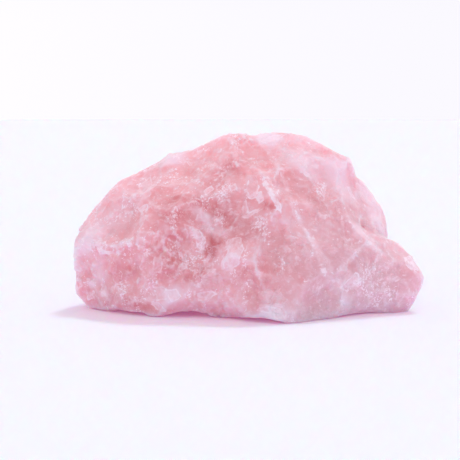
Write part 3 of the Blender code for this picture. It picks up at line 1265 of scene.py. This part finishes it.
    def _bruises(self) -> Node:
        """The bruises and cracks that the skin remembers, broken up into feathers."""
        torn = self.stone.feathers.lay(self.add, self.bent)
        return self.add("Math", {0: torn, 1: self.known[Hide.FROST]}, operation="MULTIPLY")

    def _known_chips(self) -> list[Node]:
        """The chips that the skin remembers, with streaked floors, crisp rims that are partly painted glints, and
        frayed borders.

        Returns:
            The nodes that give the white of the floors and of the rims.
        """
        add, stone = self.add, self.stone
        frays = {
            "Vector": self.bent,
            "Scale": across(stone.fray_mm),
            "Detail": stone.fray_detail,
            "Roughness": stone.fray_roughness,
        }
        fray = add("TexNoise", frays)
        inside = add("Math", {0: fray, 1: stone.fray, 2: self.known[Hide.CHIP]}, operation="MULTIPLY_ADD")
        whites = []
        for hide, breaks, edges in (
            (Hide.FLOOR, stone.streaks, stone.floor_edges), (Hide.RIM, stone.gaps, stone.rim_edges)
        ):
            white = add("Math", {0: self.known[hide], 1: breaks.lay(add, self.bent)}, operation="MULTIPLY")
            for begin, full in edges:
                band = add("MapRange", {"Value": inside, "From Min": begin, "From Max": full}, **SOFT)
                white = add("Math", {0: white, 1: band}, operation="MULTIPLY")
            whites.append(white)
        return whites


@dataclass
class Chunk:
    """The lump of rose quartz, as it is seen."""

    solid: Object
    viewpoint: Viewpoint
    skin_step_mm: float = 0.47
    seed: int = 5
    before: tuple[int, float] = (3, 0.5)  # how often and how much the skin is softened before it breaks
    after: tuple[int, float] = (1, 0.2)  # and after
    ridge_passes: int = 24  # how often the surroundings are smoothed that a ridge is measured from
    ridge_mm: float = 0.35  # the height of a full ridge

    def build(self) -> Object:
        """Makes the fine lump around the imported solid.

        Returns:
            The finished piece.
        """
        piece = self._fine_copy()
        skin = Skin(piece.data, self.viewpoint)
        smooth(skin.bm, *self.before)
        rng = random.Random(self.seed)
        hackly = Hackliness()
        for facets in FACETS:
            skin.facet(facets, hackly)
        for size in SCAR_SIZES:
            LOG.info("%s: %d scars", size.name, skin.strike(size, hackly, rng))
        skin.settle()
        for flake in FLAKES:
            skin.lay(flake)
        for hide, patches in PATCHES.items():
            for patch in patches:
                skin.mark(patch, hide)
        for seam in SEAMS:
            skin.draw(seam)
        for size in CHIP_SIZES:
            LOG.info("%s: %d chips", size.name, skin.scatter(size, hackly, rng))
        smooth(skin.bm, *self.after)
        skin.feel_ridges(self.ridge_passes, self.ridge_mm)
        skin.keep_above_table()
        skin.write(piece.data)
        piece.data.shade_smooth()
        piece.data.materials.clear()
        piece.data.materials.append(RoseQuartz().build())
        return piece

    def _fine_copy(self) -> Object:
        """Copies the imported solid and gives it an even, fine skin.

        Returns:
            An object at the origin that holds the fine mesh.
        """
        bm = bmesh.new()
        bm.from_mesh(self.solid.data)
        bmesh.ops.remove_doubles(bm, verts=bm.verts, dist=TOUCHING)
        mesh = bpy.data.meshes.new(PIECE)
        bm.to_mesh(mesh)
        bm.free()
        piece = show(PIECE, mesh)
        remesh = piece.modifiers.new("skin", "REMESH")
        remesh.mode = "VOXEL"
        remesh.voxel_size = self.skin_step_mm * MM
        bpy.context.view_layer.update()
        graph = bpy.context.evaluated_depsgraph_get()
        fine = bpy.data.meshes.new_from_object(piece.evaluated_get(graph))
        piece.modifiers.clear()
        piece.data = fine
        return piece


@dataclass(frozen=True)
class KeyLight:
    """One large, far lamp, high behind the lump on the right."""

    elevation_deg: float = 61.0
    from_right_deg: float = 31.0  # how far it is turned from straight behind towards the right
    width_deg: float = 9.0  # how large it looks, so how soft its shadows are
    strength: float = 1.45
    colour: str = "#F7F5FF"

    def hang(self) -> None:
        """Hangs the lamp and turns it on the lump."""
        data = bpy.data.lights.new("key light", "SUN")
        data.energy = self.strength
        data.angle = math.radians(self.width_deg)
        data.color = linear(self.colour)[:3]
        up, right = math.radians(self.elevation_deg), math.radians(self.from_right_deg)
        away = Vector((math.cos(up) * math.sin(right), math.cos(up) * math.cos(right), math.sin(up)))
        light = bpy.data.objects.new("key light", data)
        light.location = away
        light.rotation_euler = (-away).to_track_quat("-Z", "Y").to_euler()
        # The studio's air gives the gloss; the lamp would only add glints.
        light.visible_glossy = False
        bpy.context.scene.collection.objects.link(light)


@dataclass(frozen=True)
class WhiteAcrylic:
    """Satin cast acrylic: light creeps some way in it, red furthest, so a shadow on it stays soft."""

    colour: str = "#EAECFF"
    roughness: float = 0.7
    creep_mm: float = 8.0
    creep_share: Triple = (1.0, 0.4, 0.65)

    def build(self) -> Material:
        """Makes the material.

        Returns:
            The material.
        """
        material = bpy.data.materials.new("satin white acrylic")
        material.use_nodes = True
        shader = material.node_tree.nodes["Principled BSDF"]
        for name, value in {
            "Base Color": linear(self.colour),
            "Roughness": self.roughness,
            "Subsurface Weight": 1.0,
            "Subsurface Scale": self.creep_mm * MM,
            "Subsurface Radius": self.creep_share,
        }.items():
            shader.inputs[name].default_value = value
        return material


@dataclass(frozen=True)
class Studio:
    """A plain pale table in soft, even light."""

    key: KeyLight = KeyLight()
    top: WhiteAcrylic = WhiteAcrylic()
    table_radius: float = 3.0
    table_sides: int = 96
    air: str = "#FBF9FF"
    # The air's light: for each axis of the way it comes from, between which two values it changes, and
    # its strength at each. It is brighter low down than overhead, from the front, and from the left.
    shades: tuple[tuple[str, Pair, Pair], ...] = (
        ("Z", (0.05, 0.35), (1.0, 0.70)), ("Y", (-0.6, 0.3), (1.15, 1.0)), ("X", (-0.7, 0.2), (1.10, 1.0))
    )

    def build(self, viewpoint: Viewpoint) -> None:
        """Sets the table, the light and the camera.

        Args:
            viewpoint: Where the camera stands.
        """
        self._table()
        self._air()
        self.key.hang()
        viewpoint.place()
        bpy.context.scene.view_settings.view_transform = "Standard"

    def _table(self) -> None:
        """Lays the table top."""
        bm = bmesh.new()
        bmesh.ops.create_circle(bm, cap_ends=True, segments=self.table_sides, radius=self.table_radius)
        mesh = bpy.data.meshes.new("table")
        bm.to_mesh(mesh)
        bm.free()
        mesh.materials.append(self.top.build())
        show("table", mesh)

    def _air(self) -> None:
        """Fills the studio with soft light, as a tent of white cloth would."""
        world = bpy.data.worlds.new("studio air")
        world.use_nodes = True
        tree = world.node_tree
        way = add_node(tree, "TexCoord").outputs["Generated"]
        axes = add_node(tree, "SeparateXYZ", {0: way})
        strength = None
        for axis, (begin, end), (first, last) in self.shades:
            shade = add_node(
                tree,
                "MapRange",
                {"Value": axes.outputs[axis], "From Min": begin, "From Max": end, "To Min": first, "To Max": last},
                **SOFT,
            )
            if strength is None:
                strength = shade
            else:
                strength = add_node(tree, "Math", {0: strength, 1: shade}, operation="MULTIPLY")
        background = tree.nodes["Background"]
        background.inputs["Color"].default_value = linear(self.air)
        tree.links.new(strength.outputs[0], background.inputs["Strength"])
        bpy.context.scene.world = world


def main() -> None:
    """Builds the studio and the chunk in order and reports each."""
    logging.basicConfig(level=logging.INFO, format="%(name)s: %(message)s")
    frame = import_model()
    viewpoint = Viewpoint()
    Studio().build(viewpoint)
    LOG.info("studio is set")
    chunk = Chunk(frame["nodes"][NODE], viewpoint).build()
    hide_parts(NODE)
    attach(chunk, BODY)
    LOG.info("%s: %d faces", chunk.name, len(chunk.data.polygons))


if __name__ == "__main__":
    main()
